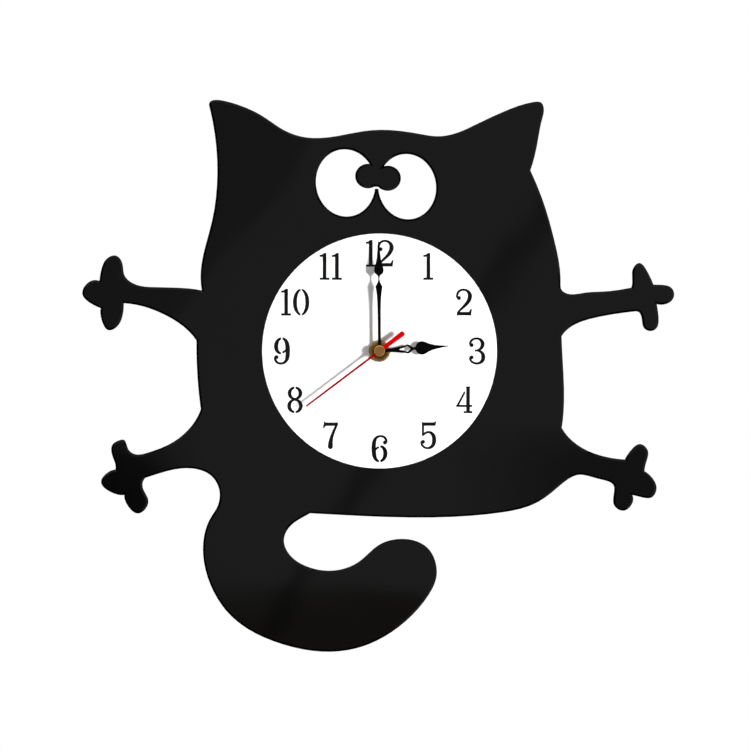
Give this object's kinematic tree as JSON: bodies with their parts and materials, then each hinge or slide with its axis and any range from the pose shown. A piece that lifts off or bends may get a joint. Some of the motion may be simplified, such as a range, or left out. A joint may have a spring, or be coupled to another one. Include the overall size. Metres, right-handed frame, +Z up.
{
  "type": "wall clock",
  "caption": "Flat gloss-black standing-cat wall clock with pierced eyes, curled tail, white stencil dial, spade hands and a battery quartz movement behind",
  "frame": {"origin": "on the hand spindle's axis, in the plane of the wall that the movement's back rests on", "axes": "+Z up towards the ears, +Y into the wall so the dial faces -Y, +X to the viewer's right"},
  "size_m": [0.3019, 0.0303, 0.2815],
  "materials": {
    "black_acrylic": "polished black acrylic sheet",
    "white_acrylic": "polished white acrylic sheet",
    "gasket_rubber": "matte",
    "brass": "turned, satin",
    "collet_brass": "turned",
    "pipe_brass": "turned",
    "hand_black": "black lacquer on aluminium",
    "hand_red": "red lacquer on aluminium",
    "case_plastic": "fine spark-eroded texture",
    "frame_plastic": "moulded",
    "steel": "ground",
    "spring_steel": "bright strip",
    "acetal": "moulded acetal",
    "washer_nylon": "nylon",
    "knob_plastic": "moulded",
    "magnet": "sintered",
    "soft_iron": "stamped",
    "bobbin_plastic": "moulded",
    "copper_wire": "enamelled wire",
    "board_green": "solder resist",
    "crystal_can": "drawn can",
    "resin": "drop of resin",
    "contact_nickel": "nickel-plated spring strip",
    "battery_metal": "bright can",
    "battery_label": "plain printed sleeve with no text"
  },
  "bodies": {
    "clock": {"cat_body_plate": "black_acrylic", "dial_disc": "white_acrylic", "rubber_washer": "gasket_rubber", "threaded_bush": "brass", "brass_washer": "brass", "brass_nut": "brass", "front_case": "case_plastic", "hanger_tab": "case_plastic", "rear_cover": "case_plastic", "middle_plate": "frame_plastic", "rear_bridge": "frame_plastic", "stator": "soft_iron", "coil_core": "soft_iron", "coil_bobbin": "bobbin_plastic", "coil_winding": "copper_wire", "circuit_board": "board_green", "quartz_crystal": "crystal_can", "chip_blob": "resin", "positive_contact": "contact_nickel", "negative_contact": "contact_nickel"},
    "second": {"second_arbor": "steel", "second_wheel": "acetal", "second_hand": "hand_red", "second_hand_collet": "collet_brass", "second_hand_cap": "brass"},
    "intermediate": {"intermediate_wheel": "acetal"},
    "rotor": {"rotor_magnet": "magnet", "rotor_pinion": "acetal"},
    "third": {"third_wheel": "acetal"},
    "centre": {"centre_wheel": "acetal", "clutch_spring": "spring_steel"},
    "minute": {"minute_pipe": "pipe_brass", "minute_hand": "hand_black", "minute_hand_collet": "collet_brass"},
    "idler_pin": {"idler_arbor": "steel"},
    "idler": {"idler_wheel": "acetal"},
    "hour_ring": {"hour_washer": "washer_nylon"},
    "hour": {"hour_wheel": "acetal", "hour_hand": "hand_black", "hour_hand_collet": "collet_brass"},
    "knob_ring": {"knob_washer": "washer_nylon"},
    "knob": {"setting_knob": "knob_plastic"},
    "battery": {"battery_cell": "battery_metal", "battery_sleeve": "battery_label"}
  },
  "joints": [
    {"name": "second_hand_turn", "type": "hinge", "parent": "clock", "child": "second", "pos_m": [0, -0.02, 0], "axis": [0, 1, 0], "continuous": true},
    {"name": "intermediate_turn", "type": "hinge", "parent": "clock", "child": "intermediate", "pos_m": [0.00846, -0.008, 0.00308], "axis": [0, 1, 0], "continuous": true},
    {"name": "rotor_turn", "type": "hinge", "parent": "clock", "child": "rotor", "pos_m": [0.01503, -0.009, 0.00547], "axis": [0, 1, 0], "continuous": true},
    {"name": "third_turn", "type": "hinge", "parent": "clock", "child": "third", "pos_m": [-0.00156, -0.009, 0.00886], "axis": [0, 1, 0], "continuous": true},
    {"name": "centre_turn", "type": "hinge", "parent": "clock", "child": "centre", "pos_m": [0, -0.01, 0], "axis": [0, 1, 0], "continuous": true},
    {"name": "idler_pin_turn", "type": "hinge", "parent": "clock", "child": "idler_pin", "pos_m": [-0.00636, -0.013, 0.00636], "axis": [0, 1, 0], "continuous": true},
    {"name": "hour_ring_turn", "type": "hinge", "parent": "clock", "child": "hour_ring", "pos_m": [0, -0.013, 0], "axis": [0, 1, 0], "continuous": true},
    {"name": "knob_ring_turn", "type": "hinge", "parent": "clock", "child": "knob_ring", "pos_m": [-0.01536, -0.013, 0.00636], "axis": [0, 1, 0], "continuous": true},
    {"name": "minute_hand_turn", "type": "hinge", "parent": "centre", "child": "minute", "pos_m": [0, -0.02, 0], "axis": [0, 1, 0], "continuous": true},
    {"name": "idler_turn", "type": "hinge", "parent": "idler_pin", "child": "idler", "pos_m": [-0.00636, -0.013, 0.00636], "axis": [0, 1, 0], "continuous": true},
    {"name": "hour_hand_turn", "type": "hinge", "parent": "hour_ring", "child": "hour", "pos_m": [0, -0.02, 0], "axis": [0, 1, 0], "continuous": true},
    {"name": "setting_knob_turn", "type": "hinge", "parent": "knob_ring", "child": "knob", "pos_m": [-0.01536, -0.008, 0.00636], "axis": [0, 1, 0], "continuous": true},
    {"name": "battery_slide", "type": "slide", "parent": "clock", "child": "battery", "axis": [0, 1, 0], "range_m": [0, 0.03]}
  ],
  "couplings": [
    {"joint": "intermediate_turn", "follows": "second_hand_turn", "ratio": -5},
    {"joint": "rotor_turn", "follows": "second_hand_turn", "ratio": 30},
    {"joint": "third_turn", "follows": "second_hand_turn", "ratio": -0.13333},
    {"joint": "centre_turn", "follows": "second_hand_turn", "ratio": 0.016667},
    {"joint": "idler_pin_turn", "follows": "second_hand_turn", "ratio": -0.0055556},
    {"joint": "hour_ring_turn", "follows": "second_hand_turn", "ratio": 0.0013889},
    {"joint": "knob_ring_turn", "follows": "second_hand_turn", "ratio": 0.016667},
    {"joint": "idler_turn", "follows": "minute_hand_turn", "ratio": -0.33333},
    {"joint": "hour_hand_turn", "follows": "minute_hand_turn", "ratio": 0.083333},
    {"joint": "setting_knob_turn", "follows": "minute_hand_turn", "ratio": 1}
  ]
}
